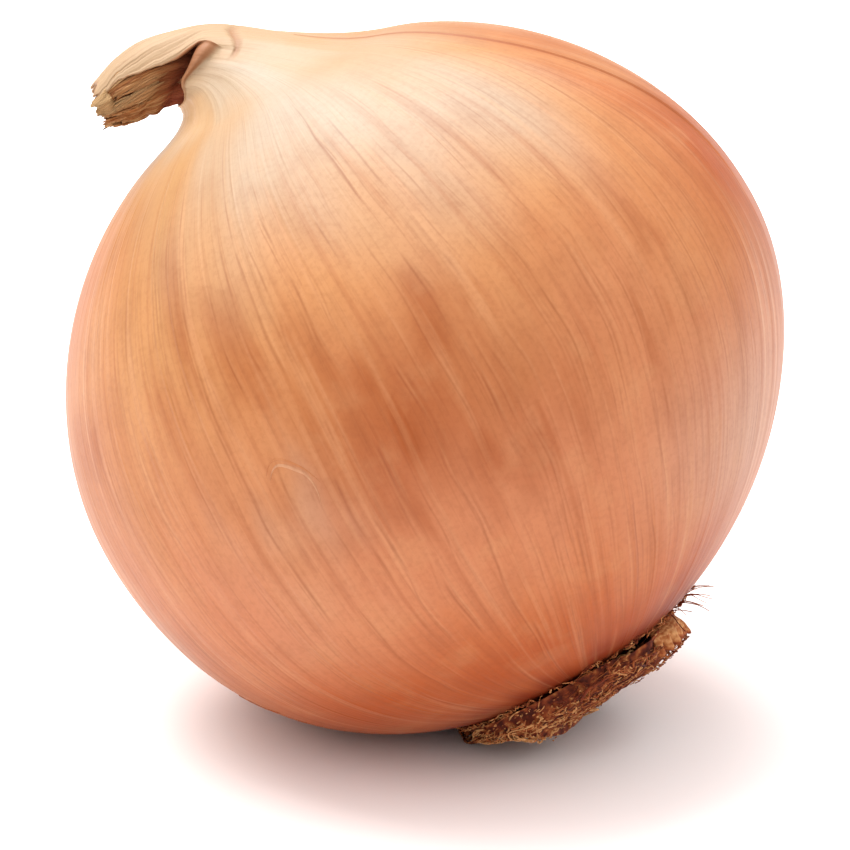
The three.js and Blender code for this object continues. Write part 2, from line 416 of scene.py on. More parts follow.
def rail_at(rail, share):
    """A point of the smooth curve through the rail's points."""
    spot = clamp(share) * (len(rail) - 1)
    index = min(int(spot), len(rail) - 2)
    t = spot - index
    b, c = rail[index], rail[index + 1]
    a = rail[index - 1] if index > 0 else b * 2 - c
    d = rail[index + 2] if index + 2 < len(rail) else c * 2 - b
    return (
        b * 2
        + (c - a) * t
        + (a * 2 - b * 5 + c * 4 - d) * t**2
        + (b * 3 - a - c * 3 + d) * t**3
    ) / 2


def neck_point(share, angle, lift):
    """A point of the neck: share from collar to tip, angle round it, lift off it."""
    inner = rail_at(inner_rail, share)
    outer = rail_at(outer_rail, share)
    across = (outer - inner) / 2
    half = across.length
    depth = lerp(COLLAR_RADIUS, NECK_DEPTH, smooth(share, 0, 0.45))
    grow = 1 + 0.05 * math.cos(2 * angle + 1.3) * share
    place = (inner + outer) / 2
    place += across * ((half * grow + lift) / half * math.cos(angle))
    place.y += (depth * grow + lift) * math.sin(angle)
    return place


# %% [markdown]
# ## The papery skin
# The outermost dry skin wraps the bulb from the roots up and runs on over the top of the
# neck, where it ends in a torn tongue. Below the neck it ends in a rolled fold. Fine
# veins run through it from root to neck. One sheet could carry them in its finish alone,
# but then they'd vanish at the outline, so the grid's columns gather at each vein and
# lift there. Between the veins the skin sinks and swells a little.

# %% Veins
VEINS = 54
VEIN_STEPS = (0, 0.035, 0.1, 0.3, 0.5, 0.7, 0.9, 0.965)
VEIN_RISE = 0.05

vein_roll = random.Random(12)
vein_angles = [
    2 * math.pi * (vein + vein_roll.uniform(-0.33, 0.33)) / VEINS for vein in range(VEINS)
]
for sheet_side in (SHEET_START, SHEET_END):
    nearest = min(range(VEINS), key=lambda v: abs(side_angle(vein_angles[v] - sheet_side)))
    vein_angles[nearest] = sheet_side % (2 * math.pi)
vein_angles.append(vein_angles[0] + 2 * math.pi)
vein_strengths = [vein_roll.choice((0.25, 0.5, 0.75, 1)) for vein in range(VEINS)]
vein_strengths.append(vein_strengths[0])
print(VEINS, "veins, the strongest", VEIN_RISE * max(vein_strengths), "mm high")


def vein_column(u):
    """The angle of the grid's column at u, and how much of a vein it is."""
    column = round(u * VEINS * len(VEIN_STEPS))
    vein, step = divmod(column, len(VEIN_STEPS))
    if vein == VEINS:
        return vein_angles[0] + 2 * math.pi, vein_strengths[0]
    angle = lerp(vein_angles[vein], vein_angles[vein + 1], VEIN_STEPS[step])
    return angle, vein_strengths[vein] if step == 0 else 0.0


def run(theta, along):
    """Coordinates that follow the fibres and have no seam."""
    return Vector((math.cos(theta), math.sin(theta), along))


def neck_pleats(theta, share):
    """The lengthwise wrinkles of everything that gathers on the neck, in mm."""
    waves = 0.12 * math.cos(9 * theta + 0.8)
    waves += 0.2 * noise.noise(run(theta, 0.6 * share) * 6)
    return waves + 0.1 * noise.noise(run(theta, 0.2 * share) * 17)


# %% Where the skin ends on the neck
TONGUE_REACH = 0.94
TONGUE_EDGE = math.radians(-60)
TONGUE_RUN = math.radians(34)
TONGUE_FAR_EDGE = math.radians(135)
TONGUE_HANG = math.radians(19)
FOLD_SHARE = 0.345
CROTCH_SHARE = 0.03
FAR_SHARE = 0.3
SHARE_LENGTH = 18


def tongue_edge(share):
    """The angle of the tongue's near edge at that share of the neck."""
    hang = smooth(share, 0.38, 0.49) - 0.6 * smooth(share, 0.6, 0.85)
    wave = 0.35 * noise.noise(Vector((share * 7, 0, 7)))
    wave += 0.2 * noise.noise(Vector((share * 30, 0, 2)))
    return TONGUE_EDGE - TONGUE_HANG * (hang + wave * smooth(share, 0.42, 0.5))


def skin_rim(theta):
    """How far up the neck the skin reaches at this angle, as a share of the neck."""
    angle = side_angle(theta)
    past_crotch = smooth(angle, math.radians(-162), math.radians(-108))
    near = lerp(CROTCH_SHARE, FOLD_SHARE, past_crotch)
    if angle < TONGUE_EDGE:
        return near
    ragged = 0.05 * noise.noise(run(theta, 0) * 4) + 0.03 * noise.noise(run(theta, 3) * 13)
    along_edge = clamp((angle - TONGUE_EDGE) / TONGUE_RUN)
    tongue = lerp(FOLD_SHARE, TONGUE_REACH, along_edge)
    tongue += ragged * smooth(along_edge, 0.7, 1)
    far = lerp(FAR_SHARE, CROTCH_SHARE, smooth(angle, 2.3, math.pi)) + 0.6 * ragged
    return lerp(tongue, far, smooth(angle, TONGUE_FAR_EDGE - 0.2, TONGUE_FAR_EDGE + 0.2))


def skin_angle(theta, share):
    """The angle round the neck that the skin's column has reached at that share."""
    angle = side_angle(theta)
    if angle < TONGUE_EDGE or angle > math.radians(60):
        return angle
    past = (angle - TONGUE_EDGE) / TONGUE_RUN
    left = 1 - smooth(share / skin_rim(theta), 0.25, 1.02)
    closing = lerp(left, 1, smooth(past, 0.9, 3))
    return lerp(tongue_edge(share), TONGUE_EDGE, 1 - smooth(past, 3.2, 0.9)) + (
        (angle - TONGUE_EDGE) * closing
    )


def fold_roll(theta):
    """How thick the rolled lip of the skin is at this angle, in mm."""
    angle = side_angle(theta)
    past_corner = (angle - TONGUE_EDGE) / TONGUE_RUN
    lip = smooth(angle, math.radians(-165), math.radians(-75)) * (
        1 - smooth(past_corner, 0.02, 0.3)
    )
    hook = smooth(angle, math.radians(-100), math.radians(-68))
    return 0.02 + lip * (0.3 + 0.25 * hook)


# %% Surface of the skin on the bulb
def bulb_surface(theta, along, rise=0.0):
    """Place of the skin between the root plate and the collar, or that far above it."""
    radius, height = outline_at(along)
    slant = SHEET_SLANT * smooth(along, 0.58, 0.86) * (1 - smooth(along, 0.93, 1))
    slant *= 1 - smooth(abs(side_angle(theta - SHEET_START)), 0.02, 0.5)
    wander = 0.03 * noise.noise(run(theta, 2.2 * along) * 2.0) * smooth(radius, 6, 20)
    slow = noise.noise(run(theta, 1.5 * along) * 3.2)
    ribs = noise.noise(run(theta, 0.5 * along) * 9)
    lift = 0.16 * slow + 0.1 * ribs * smooth(radius, 8, 25)
    lift += SHEET_RISE * sheet_cover(theta) * smooth(along, 0.5, 0.64)
    return bulb_point(theta + slant + wander, along, lift + rise)


# %% Surface of the skin on the neck, and between bulb and neck
SKIN_OFF_NECK = 0.35
BRIDGE_FROM = 0.93
BRIDGE_TO = 0.22


def neck_surface(theta, share):
    """Place of the skin on the neck, before its wrinkles."""
    return neck_point(share, skin_angle(theta, share), SKIN_OFF_NECK)


def bridged(theta, along, share):
    """Place of the skin, stretched smoothly over the hollow between bulb and neck.

    along runs from root plate to collar, and share from the collar up the neck.
    """
    tight = smooth(abs(side_angle(theta)), math.radians(105), math.radians(165))
    start = lerp(BRIDGE_FROM, 0.985, tight)
    end = lerp(BRIDGE_TO, 0.03, tight)
    if along < start:
        return bulb_surface(theta, along)
    if share > end:
        return neck_surface(theta, share)
    first = bulb_surface(theta, start)
    last = neck_surface(theta, end)
    leaving = first - bulb_surface(theta, start - 0.01)
    arriving = neck_surface(theta, end + 0.01) - last
    on_bulb = (1 - start) * outline_lengths[-1]
    on_neck = end * SHARE_LENGTH
    way = (along - start) * outline_lengths[-1] + share * SHARE_LENGTH
    span = (last - first).length / 3
    return bezier(
        first,
        first + leaving.normalized() * span,
        last - arriving.normalized() * span,
        last,
        way / (on_bulb + on_neck),
    )


def outward(theta, share):
    """Which way is out of the skin near the collar and on the neck."""
    sheath = neck_point(share, skin_angle(theta, share), 0)
    return (neck_surface(theta, share) - sheath).normalized()


# %% Skin up to the collar
def bulb_skin_rule(theta, vein, along):
    """Place, flow and marks of the skin between the root plate and the collar."""
    place = bridged(theta, along, 0)
    breaks = clamp(0.75 + 1.6 * noise.noise(run(theta, 5 * along) * 1.7))
    strength = vein * breaks * smooth(along, 0.02, 0.12) * (1 - 0.6 * smooth(along, 0.9, 1))
    centre = Vector((fuller_by(place.z), 0, EQUATOR_HEIGHT))
    rise = VEIN_RISE * strength
    place += (place - centre).normalized() * rise * (1 - smooth(along, 0.85, 0.93))
    gather = 0.6 * smooth(along, 0.88, 1.0) * neck_pleats(theta, 0)
    place += outward(theta, 0) * gather
    edge = 1 - smooth(abs(side_angle(theta - SHEET_START)), 0.0, 0.02)
    edge *= smooth(along, 0.56, 0.66)
    return place, run(theta, along), (0, edge, 0)


# %% Skin over the neck
SKIN_ROWS_NECK = 60
SKIN_ROWS_EDGE = 8
SKIN_ROWS_INNER = 10
SKIN_THICKNESS = 0.3


def neck_skin_rule(theta, row):
    """The same for the skin that runs on over the neck, its lip and its inner side."""
    rim = skin_rim(theta)
    roll = fold_roll(theta)
    bead = roll + SKIN_THICKNESS / 2
    up = row / SKIN_ROWS_NECK
    edge = (row - SKIN_ROWS_NECK) / SKIN_ROWS_EDGE
    inner = (row - SKIN_ROWS_NECK - SKIN_ROWS_EDGE) / SKIN_ROWS_INNER
    past_corner = (side_angle(theta) - TONGUE_EDGE) / TONGUE_RUN
    sideways = smooth(past_corner, 0.0, 0.12) * (1 - smooth(past_corner, 0.9, 1.05))
    groove = 0.0
    if up <= 1:
        share = up * rim
        from_rim = (rim - share) * SHARE_LENGTH
        rise = 2 * roll * (1 - smooth(from_rim, 0, 2.5 * roll + 0.1))
        fold = (1 - smooth(from_rim, 0.2, 2.2 * roll + 0.3)) * clamp(roll / 0.3)
        turn_to = smooth(side_angle(theta), math.radians(-20), math.radians(-80))
        groove = 1 - smooth(abs(share - lerp(0.29, 0.16, turn_to)), 0, 0.03)
        groove *= 1 - smooth(abs(side_angle(theta) + math.radians(42)), 0.3, 0.75)
        place = bridged(theta, 1, share)
        place += outward(theta, share) * (rise - 0.35 * groove)
    else:
        if edge <= 1:
            bend = math.pi * edge
            over = bead * math.sin(bend)
            rise = roll - SKIN_THICKNESS / 2 + bead * math.cos(bend)
            share = rim + over * (1 - sideways) / SHARE_LENGTH
            # Under the rolled lip the fold mark climbs past 1, which paints the shade in
            # the hollow under the fold.
            fold = lerp(0.3, 1 + 0.5 * edge, clamp(roll / 0.3))
        else:
            over = 0
            share = rim * (1 - inner)
            rise = -SKIN_THICKNESS - 0.9 * inner
            # The inner side gets the highest fold mark, the darkest painted shade inside
            # the fold.
            fold = lerp(0.4, 2.0, clamp(roll / 0.3))
        angle = skin_angle(theta, min(share, rim)) - sideways * over / 4.5
        place = neck_point(share, angle, SKIN_OFF_NECK + rise)
    place += outward(theta, min(share, rim)) * 0.6 * neck_pleats(theta, share)
    if inner > 0.999:
        place = neck_point(0.02, 0, 0).lerp(neck_point(0.02, math.pi, 0), 0.5)
    return place, run(theta, 1 + 0.35 * share), (0, 0.7 * groove, fold)


# %% The whole skin
SKIN_ROWS_BULB = 150
SKIN_ROWS = SKIN_ROWS_BULB + SKIN_ROWS_NECK + SKIN_ROWS_EDGE + SKIN_ROWS_INNER


def skin_rule(u, v):
    theta, vein = vein_column(u)
    row = v * SKIN_ROWS
    if row <= SKIN_ROWS_BULB:
        return bulb_skin_rule(theta, vein, row / SKIN_ROWS_BULB)
    return neck_skin_rule(theta, row - SKIN_ROWS_BULB)


bulb_skin = laid_grid("bulb_skin", VEINS * len(VEIN_STEPS), SKIN_ROWS, skin_rule)
for vertex in bulb_skin.data.vertices:
    vertex.co.z = max(vertex.co.z, 0)
print("bulb skin", len(bulb_skin.data.polygons), "faces")

# %% [markdown]
# ## Where the skin is stained and where the highlight is painted
# The skin is browner where it was rubbed or has aged, paler towards the neck and redder
# by the roots, and the broad highlight below the neck is painted in as large pale ovals. A
# painted image could hold that, but it would need a map of the skin. Instead each stain
# is an oval on the skin, and every point of the mesh stores how brown, pale and red it
# is, with an edge made uneven by noise.

# %% Stains of the skin
# Each is (theta, half width) in degrees, (along, half length) in shares, and a strength.
BROWN_STAINS = [
    (-97, 34, 0.53, 0.13, 0.7), (-99, 5, 0.565, 0.09, 0.8), (-97.5, 3.5, 0.53, 0.09, 0.9),
    (-87, 5, 0.575, 0.07, 0.8), (-88.5, 5, 0.49, 0.08, 0.8), (-93, 5, 0.55, 0.1, 0.6),
    (-82.5, 4, 0.5, 0.08, 0.6), (-104, 4, 0.6, 0.08, 0.6), (-107, 4, 0.64, 0.05, 0.5),
    (-110, 4, 0.56, 0.1, 0.55), (-115, 3.5, 0.62, 0.09, 0.5), (-76, 4, 0.54, 0.07, 0.45),
    (-80, 3.5, 0.6, 0.05, 0.4), (-94, 4, 0.62, 0.05, 0.4), (-101, 3, 0.48, 0.08, 0.6),
    (-119, 3, 0.65, 0.08, 0.5), (-61, 10, 0.605, 0.05, 0.25), (-127, 4, 0.7, 0.1, 0.35),
    (-70, 4, 0.57, 0.07, 0.3), (-65, 3, 0.62, 0.06, 0.3), (-90, 3, 0.43, 0.06, 0.4),
    (-124, 3, 0.6, 0.07, 0.35), (-134, 4, 0.62, 0.08, 0.3), (-73, 3, 0.46, 0.07, 0.35),
    (-172, 34, 0.5, 0.3, 0.28), (6, 24, 0.38, 0.25, 0.25),
]
# Of these, the three large ovals near the neck, at -84, -62 and -40 degrees, paint the
# broad highlight below the neck into the colour.
PALE_STAINS_AND_HIGHLIGHT = [
    (-79, 2.5, 0.638, 0.04, 0.15), (-109, 2.5, 0.69, 0.04, 0.15),
    (-121, 12, 0.49, 0.07, 0.24), (-128, 14, 0.43, 0.08, 0.1), (-34, 30, 0.33, 0.16, 0.42),
    (-84, 50, 0.9, 0.24, 1.0), (-62, 34, 0.78, 0.16, 0.8), (-40, 40, 0.9, 0.1, 0.5),
]
RED_STAINS = [
    (-140, 50, 0.255, 0.1, 1.0), (-106, 40, 0.215, 0.1, 1.0), (-78, 28, 0.165, 0.08, 0.9),
    (-14, 34, 0.6, 0.22, 0.85), (-20, 16, 0.58, 0.14, 0.9), (-170, 36, 0.78, 0.2, 0.5),
    (-6, 22, 0.78, 0.2, 0.5),
]
RANDOM_STAINS = 46

stain_roll = random.Random(77)


def scattered(half_widths, half_lengths, strongest):
    """Random stains for the sides that the photograph doesn't show."""
    made = []
    for stain in range(RANDOM_STAINS):
        made.append((
            stain_roll.uniform(0, 200),
            stain_roll.uniform(*half_widths),
            stain_roll.uniform(0.2, 0.85),
            stain_roll.uniform(*half_lengths),
            stain_roll.uniform(0.3, 1) * strongest,
        ))
    return made


def stain_at(stains_and_highlight, theta, along):
    """The strongest of the stains at that place of the skin."""
    coarse = noise.noise(run(theta, 2 * along) * 4)
    wobble = 0.7 * coarse + 0.5 * noise.noise(run(theta, along) * 15)
    most = 0.0
    for middle, half_width, height, half_length, strength in stains_and_highlight:
        across = math.degrees(abs(side_angle(theta - math.radians(middle)))) / half_width
        up = abs(along - height) / half_length
        if across < 1.6 and up < 1.6:
            away = math.hypot(across, up)
            away += wobble if half_width < 15 else 0.3 * coarse
            most = max(most, strength * (1 - smooth(away, -0.1, 1.2)))
    return most


kinds = (
    BROWN_STAINS + scattered((3, 12), (0.05, 0.12), 0.7),
    PALE_STAINS_AND_HIGHLIGHT + scattered((4, 12), (0.05, 0.1), 0.22),
    RED_STAINS + [(80, 140, 0.22, 0.12, 0.8)],
)
stains_and_highlight = []
for value in bulb_skin.data.attributes["flow"].data:
    x, y, along = value.vector
    stains_and_highlight.extend(stain_at(kind, math.atan2(y, x), along) for kind in kinds)
stain_attribute = bulb_skin.data.attributes.new("stains_and_highlight", "FLOAT_VECTOR", "POINT")
stain_attribute.data.foreach_set("vector", stains_and_highlight)
print("stained", len(stains_and_highlight) // 3, "points")

# %% [markdown]
# ## Torn edges of thin film
# Here and there the outermost film of skin has torn and its edge stands up a little. A
# bump in the finish would vanish when seen from the side, so each edge is a thin ribbon
# that follows a path over the skin, highest along its middle and sunk in at both sides.

# %% Torn edges
# Each is a path of (theta in degrees, along), a width and a height in mm, and its stains.
FILMS = [
    (((-122, 0.54), (-120.6, 0.549), (-119.2, 0.5515), (-117.9, 0.548), (-116.5, 0.541),
      (-114.9, 0.53), (-113.4, 0.512)), 0.5, 0.05, (0.25, 0, 0), 0.25),
    (((-121.6, 0.536), (-120.4, 0.543), (-119.2, 0.5455), (-117.9, 0.542), (-116.6, 0.535),
      (-115.2, 0.525), (-114.8, 0.508), (-115.6, 0.49)), 0.45, 0.07, (0, 0.25, 0), 0),
    (((-174, 0.347), (-171, 0.336), (-167, 0.32), (-164, 0.308)),
     0.7, 0.16, (1, 0, 0), 0.5),
]


def film_rule(path, width, rise):
    """The rule for a ribbon that follows the path over the skin."""
    length = outline_lengths[-1]

    def rule(u, v):
        theta, along = rail_at(path, v)
        ahead = rail_at(path, min(1, v + 0.01)) - rail_at(path, max(0, v - 0.01))
        girth = outline_at(along).x
        tangent = Vector((ahead.x * girth, ahead.y * length)).normalized()
        aside = (2 * u - 1) * width / 2 * math.sin(math.pi * clamp(v, 0.02, 0.98))
        theta -= tangent.y * aside / girth
        along += tangent.x * aside / length
        height = lerp(rise, -0.04, (2 * u - 1) ** 2) * math.sin(math.pi * v) ** 0.3
        return bulb_surface(theta, along, height), run(theta, along), (0, 0, 0)

    return rule


films = []
for points, width, rise, film_stains, fold in FILMS:
    path = [Vector((math.radians(theta), along)) for theta, along in points]
    film = laid_grid("film", 6, 40, film_rule(path, width, rise), closed=False)
    corners = len(film.data.vertices)
    film.data.attributes["marks"].data.foreach_set("vector", (0, 0, fold) * corners)
    film_stain = film.data.attributes.new("stains_and_highlight", "FLOAT_VECTOR", "POINT")
    film_stain.data.foreach_set("vector", film_stains * corners)
    films.append(film)
torn_films = joined("torn_films", films)
print("torn films", len(torn_films.data.polygons), "faces")

# %% [markdown]
# ## The dry neck
# Under the tongue of skin the neck is a bundle of brown, fibrous sheaths, split and
# pleated along their length and torn off at the end. Every sheath could be a sheet of
# its own, but only their outer faces show, so one pleated, closed tube makes them all.

# %% Bundle of sheaths
BUNDLE_COLUMNS = 240
BUNDLE_ROWS = 100
BUNDLE_END = 0.92
BUNDLE_BODY = 0.9


def bundle_grooves(angle, share):
    """Depth of the grooves between the bundled sheaths, 0 to 1."""
    bend = angle + 0.35 * math.sin(3 * share)
    broad = noise.noise(run(bend, 0.5 * share) * 4.5)
    fine = noise.noise(run(bend, 0.35 * share) * 13)
    return clamp(0.5 + 0.9 * broad + 0.55 * fine)


def bundle_rule(u, v):
    """u runs round the bundle, v from its foot to its end and then into its heart."""
    angle = 2 * math.pi * u
    along = clamp(v / BUNDLE_BODY)
    end = BUNDLE_END + 0.07 * noise.noise(run(angle, 1) * 2.5)
    end += 0.04 * noise.noise(run(angle, 2) * 9)
    share = along * end
    grooves = bundle_grooves(angle, share)
    side = side_angle(angle)
    under_tongue = smooth(side, TONGUE_EDGE - 0.45, TONGUE_EDGE) * (
        1 - smooth(side, TONGUE_FAR_EDGE, TONGUE_FAR_EDGE + 0.3)
    )
    below = smooth(abs(side), 2.1, 2.7)
    sunk = (1 - smooth(share, 0.3, 0.47)) * (1 - below)
    lift = 0.05 - 0.5 * under_tongue - 0.5 * grooves - 1.5 * sunk
    lift += 0.9 * below * smooth(share, 0.05, 0.2) * (1 - smooth(share, 0.5, 0.75))
    lift += 0.6 * neck_pleats(angle, share)
    place = neck_point(share, angle, lift)
    heart = neck_point(end - 0.2, 0, 0).lerp(neck_point(end - 0.2, math.pi, 0), 0.5)
    if v > BUNDLE_BODY:
        place = place.lerp(heart, (v - BUNDLE_BODY) / (1 - BUNDLE_BODY))
    if v < 0.001:
        place = neck_point(0, 0, 0).lerp(neck_point(0, math.pi, 0), 0.5)
    # The crease mark is painted shade: it darkens the bundle from its foot up past the
    # fold, where the crease lies.
    crease_shade = 1 - smooth(share, 0.36, 0.6)
    return place, run(angle, share), (grooves, crease_shade, 0.35)


neck_bundle = laid_grid("neck_bundle", BUNDLE_COLUMNS, BUNDLE_ROWS, bundle_rule)
print("neck bundle", len(neck_bundle.data.polygons), "faces")

# %% [markdown]
# ## Torn strips of the neck
# The sheaths end in a ragged brush of torn strips, with one pale flap on top. Each strip
# could be cut from a plane by hand, but a small grid with teeth in its last rows gives
# every strip its own tear, and a wall makes it a solid.

# %% Torn strips
STRIPS = 44
STRIP_WALL = 0.16
FLAP_MIDDLE = math.radians(-86)
FLAP_HALF_WIDTH = math.radians(28)
strip_roll = random.Random(5)


def strip_rule(middle, half_width, start, end, flare, seed, tint):
    """The rule for one torn strip of sheath, by its own angle, width and reach."""

    def rule(u, v):
        side = 2 * u - 1
        tear = 0.05 * noise.noise(Vector((side * 2.2, seed, 0)))
        tear += 0.04 * noise.noise(Vector((side * 7, seed, 4)))
        share = lerp(start, end + tear, v)
        width = half_width * lerp(1, 0.75, v)
        angle = middle + side * width + 0.1 * math.sin(4 * v + seed)
        crinkle = 0.2 * noise.noise(Vector((side * 2.5, 3 * v, seed)))
        lift = lerp(-1.1, flare, smooth(v, 0, 0.5)) + crinkle * v
        lift += 0.6 * neck_pleats(angle, min(share, 1))
        place = neck_point(min(share, 1), angle, lift)
        if share > 1:
            place += Vector((-18, 0, -4)) * (share - 1)
        # As on the bundle, the crease mark paints the shade of the crease by the fold.
        crease_shade = 0.9 * (1 - smooth(share, 0.38, 0.62))
        return place, run(angle, share), (0.3, crease_shade, tint)

    return rule


def torn_strip(columns, rows, rule):
    """A thin strip with a wall, from the rule for its place."""
    piece = laid_grid("neck_strip", columns, rows, rule, closed=False)
    wall = piece.modifiers.new("wall", "SOLIDIFY")
    wall.thickness = STRIP_WALL * MM
    wall.offset = 0
    apply_modifiers(piece)
    return piece


flap = strip_rule(FLAP_MIDDLE, FLAP_HALF_WIDTH, 0.84, 0.99, 0.5, 2.2, 1.0)
strips = [torn_strip(30, 16, flap)]
for strip in range(STRIPS):
    middle = math.radians(lerp(-178, -62, (strip + strip_roll.uniform(0, 1)) / STRIPS * 2))
    if strip > STRIPS / 2:
        middle = math.radians(strip_roll.uniform(130, 185))
    rule = strip_rule(
        middle,
        strip_roll.uniform(0.04, 0.13),
        strip_roll.uniform(0.34, 0.62),
        strip_roll.uniform(0.86, 0.98),
        strip_roll.uniform(-0.1, 0.2),
        strip * 3.7,
        strip_roll.uniform(0.1, 1.0),
    )
    strips.append(torn_strip(10, 18, rule))
neck_strips = joined("neck_strips", strips)
print("neck strips", len(neck_strips.data.polygons), "faces")

# %% [markdown]
# ## The root mat
# Dry roots grow in a ring from the root plate and curl into a flat, tangled mat under
# the onion. All of its pieces have to stay under the bulb, above the floor and within
# the mat. They could be placed by hand, but a function that moves any point to where
# there is room for it does that for all of them.

# %% Where a root may lie
PLATE_RADIUS = 13.4
MAT_RADIUS = 14.2
MAT_RIGHT = math.radians(5)
MAT_LEFT = math.radians(-170)
PALE_SIDE = math.radians(-132)
GAP_SIDE = math.radians(-56)
LIP_SIDE = math.radians(-26)
MAT_RIM = 1.3
MAT_DEPTH = 3.7
NUDGES = 60
NUDGE_INWARD = 0.987


def near_side(bearing, side, inner, outer):
    """1 at that side of the mat, fading to 0 between those two angles away from it."""
    return 1 - smooth(abs(side_angle(bearing - side)), inner, outer)


def paler(bearing):
    """How far that bearing lies in the mat's pale left end, 0 to 1."""
    return near_side(bearing, PALE_SIDE, 0.2, 0.7)


def over_gap(bearing):
    """How far that bearing lies at the dark gap between skin and mat, 0 to 1."""
    return near_side(bearing, GAP_SIDE, 0.1, 0.35)


def polar(distance, angle, height):
    return Vector((distance * math.cos(angle), distance * math.sin(angle), height))


def underside(reach):
    """Height of the bulb's underside at that distance from its axis."""
    return EQUATOR_HEIGHT - LOWER_HALF * math.sqrt(1 - min(1, reach / BULB_RADIUS) ** 2)


def root_room(point, room):
    """The point, moved so that a root of that half thickness stays within the mat."""
    point = point.copy()
    bearing = math.atan2(point.y, point.x)
    ragged = noise.noise(polar(3.3, bearing, 0.6)) + 0.3 * noise.noise(polar(7, bearing, 3))
    widest = MAT_RADIUS + 0.7 * ragged - 1.9 * near_side(bearing, MAT_RIGHT, 0.5, 1.3)
    thinned = 1 - 0.4 * near_side(bearing, MAT_LEFT, 0.3, 0.8)
    thinned -= 0.3 * near_side(bearing, GAP_SIDE, 0.4, 1.1)
    reach = math.hypot(point.x, point.y)
    inward = min(1, widest / max(1, reach))
    for nudge in range(NUDGES):
        point.x *= inward
        point.y *= inward
        reach = math.hypot(point.x, point.y)
        ceiling = max(0, underside(reach)) - room
        belly = MAT_RIM + MAT_DEPTH * math.sqrt(max(0, 1 - (reach / MAT_RADIUS) ** 2))
        uneven = lerp(1, thinned * (1 + 0.35 * ragged), smooth(reach, 1, 9))
        point.z = max(min(point.z, ceiling), -uneven * belly)
        lying = set_down @ point
        lying.z = max(lying.z, room)
        point = lift_up @ lying
        if point.z < ceiling + 0.05:
            break
        inward = NUDGE_INWARD
    return point


# %% [markdown]
# ## The root plate
# The roots grow out of a crumbly, corky disc. A plain disc would show through between
# the roots, so it is a closed form that fills the mat's room, roughened by noise.

# %% Root plate
PLATE_WALL = 0.5
PLATE_TOP = 0.68


def plate_rule(u, v):
    """From the middle of the underside out to the rim, up the wall and in over the top."""
    angle = 2 * math.pi * u
    share = clamp(v * 1.02)
    outer = PLATE_RADIUS * math.sin(math.pi / 2 * clamp(share / PLATE_WALL))
    if share > PLATE_TOP:
        outer = PLATE_RADIUS * (1 - smooth(share, PLATE_TOP, 1.1))
    low = root_room(polar(outer, angle, -10), 0.1) * 0.93
    high = root_room(polar(outer, angle, 10), 0.3)
    high.z -= 0.2 + 0.6 * over_gap(angle)
    point = low.lerp(high, smooth(share, PLATE_WALL, PLATE_TOP))
    crumbly = 0.5 * noise.noise(point * 0.7) + 0.15 * noise.noise(point * 1.4)
    point += (point - Vector((0, 0, -0.5))).normalized() * crumbly
    point = root_room(point, 0.1)
    return point, run(angle, share), (clamp(0.3 + 0.9 * noise.noise(point * 1.3)), 0.1, 0.2)


root_plate = laid_grid("root_plate", 180, 60, plate_rule)
print("root plate", len(root_plate.data.polygons), "faces")

# %% [markdown]
# ## The roots
# The mat is made of hundreds of thin dry roots. Hair particles would be quick, but they
# don't reach the exported model. So one small tube is modelled, copied for every root
# with a mesh of its own, and bent along a path that wanders through the mat.

# %% One root, to be bent into many
ROOT_SIDES = 5
ROOT_ROWS = 9


def root_rule(u, v):
    """A closed tube with a radius and a height of 1. Its first and last rows are caps."""
    angle = 2 * math.pi * u
    end = 0 if v < 0.001 or v > 0.999 else 1
    height = clamp((v * ROOT_ROWS - 1) / (ROOT_ROWS - 2))
    return polar(end, angle, height), (0, 0, 0), (0, 0, 0)


root_model = laid_grid("root_model", ROOT_SIDES, ROOT_ROWS, root_rule)
root_model.data.transform(Matrix.Scale(1 / MM, 4))
root_model.data.transform(lift_up)
root_shape = [vertex.co.copy() for vertex in root_model.data.vertices]
print("one root has", len(root_model.data.polygons), "faces")


def bent_root(name, path, radius, tip, tint):
    """A copy of the root tube that follows the path, thinning towards its tip."""
    centres, rights, ups = [], [], []
    up = Vector((0.3, 0.2, 1)).normalized()
    for row in range(ROOT_ROWS + 1):
        spot = row / ROOT_ROWS
        ahead = rail_at(path, min(1, spot + 0.02)) - rail_at(path, max(0, spot - 0.02))
        right = ahead.cross(up).normalized()
        up = right.cross(ahead).normalized()
        centres.append(rail_at(path, spot))
        rights.append(right)
        ups.append(up)
    copy = root_model.copy()
    copy.data = root_model.data.copy()
    copy.name = name
    bpy.context.collection.objects.link(copy)
    places, flows, marks = [], [], []
    for corner in root_shape:
        row = round(clamp(corner.z) * ROOT_ROWS)
        share = row / ROOT_ROWS
        knot = 1 + 0.5 * noise.noise(Vector((4 * share, 100 * tint, 0)))
        thick = radius * lerp(1, tip, share) * knot
        place = centres[row] + (rights[row] * corner.x + ups[row] * corner.y) * thick
        places.extend(set_down @ place * MM)
        flows.extend((10 * tint, 3 * share, math.atan2(corner.y, corner.x)))
        marks.extend((tint, share, 0))
    copy.data.vertices.foreach_set("co", places)
    copy.data.attributes["flow"].data.foreach_set("vector", flows)
    copy.data.attributes["marks"].data.foreach_set("vector", marks)
    return copy


# %% Roots of the mat
ROOTS = 560
ROOT_RING = 10.5
ROOT_STEPS = 6
root_roll = random.Random(31)

